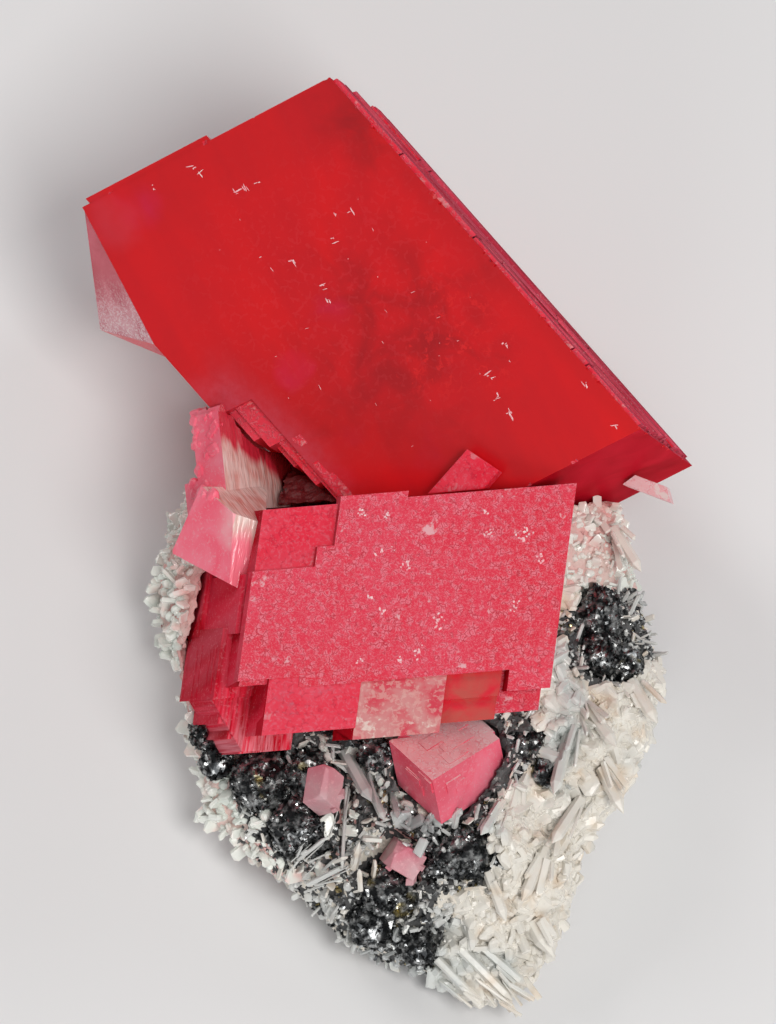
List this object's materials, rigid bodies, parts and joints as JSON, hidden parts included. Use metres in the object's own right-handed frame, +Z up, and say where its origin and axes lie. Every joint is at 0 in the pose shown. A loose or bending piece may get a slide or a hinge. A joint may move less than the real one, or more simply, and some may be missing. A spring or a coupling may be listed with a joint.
{
  "type": "rhodochrosite specimen",
  "caption": "Clear red rhodochrosite rhombohedron over a frosted pink crystal, on quartz and sulphide matrix that lies on its flat back",
  "frame": {"origin": "on the bed plane, under the middle of the specimen", "axes": "+Z up from the bed; +Y from the matrix's tip towards the large crystal; +X to the right when facing the showing side; the showing face is tilted 20 degrees from level, towards -Y"},
  "size_m": [0.0656, 0.0949, 0.0443],
  "materials": {
    "red_crystal": "clear deep red, glassy, with faint growth striations",
    "frosted_crystal": "translucent pink, frosted face with fine pale flecks, striated sides",
    "pale_crystal": "pale pink, pearly, translucent",
    "quartz": "milky to clear, glassy prism faces",
    "sulphide": "dark grey, bright metallic lustre",
    "matrix": "rough crystalline quartz with dark sulphide grains"
  },
  "bodies": {
    "root": {"matrix_rock": "matrix", "large_red_rhomb": "red_crystal", "frosted_rhomb": "frosted_crystal", "pale_rhomb": "pale_crystal", "lower_rhomb": "frosted_crystal", "sliver_rhomb": "frosted_crystal", "stub_rhomb": "pale_crystal", "left_chip_rhomb": "pale_crystal", "low_chip_rhomb": "pale_crystal", "quartz_grey_point": "quartz", "quartz_grey_pair": "quartz", "quartz_short_point": "quartz", "quartz_spine": "quartz", "quartz_left_point": "quartz", "quartz_left_blade": "quartz", "quartz_cream_block": "quartz", "quartz_tip_needle": "quartz", "quartz_tip_blade": "quartz", "quartz_tip_wedge": "quartz", "quartz_tip_block": "quartz", "quartz_right_top": "quartz", "quartz_right_edge": "quartz", "quartz_right_blade": "quartz", "quartz_right_fan": "quartz", "quartz_right_leaf": "quartz", "quartz_middle_leaf": "quartz", "quartz_middle_blade": "quartz", "quartz_lower_blade": "quartz", "quartz_lower_leaf": "quartz", "sulphide_left_cluster": "sulphide", "sulphide_ball": "sulphide", "sulphide_left_rim": "sulphide", "sulphide_right_cluster": "sulphide", "sulphide_right_speck": "sulphide", "sulphide_hollow": "sulphide", "sulphide_middle": "sulphide", "sulphide_low": "sulphide", "sulphide_low_right": "sulphide"}
  },
  "joints": []
}
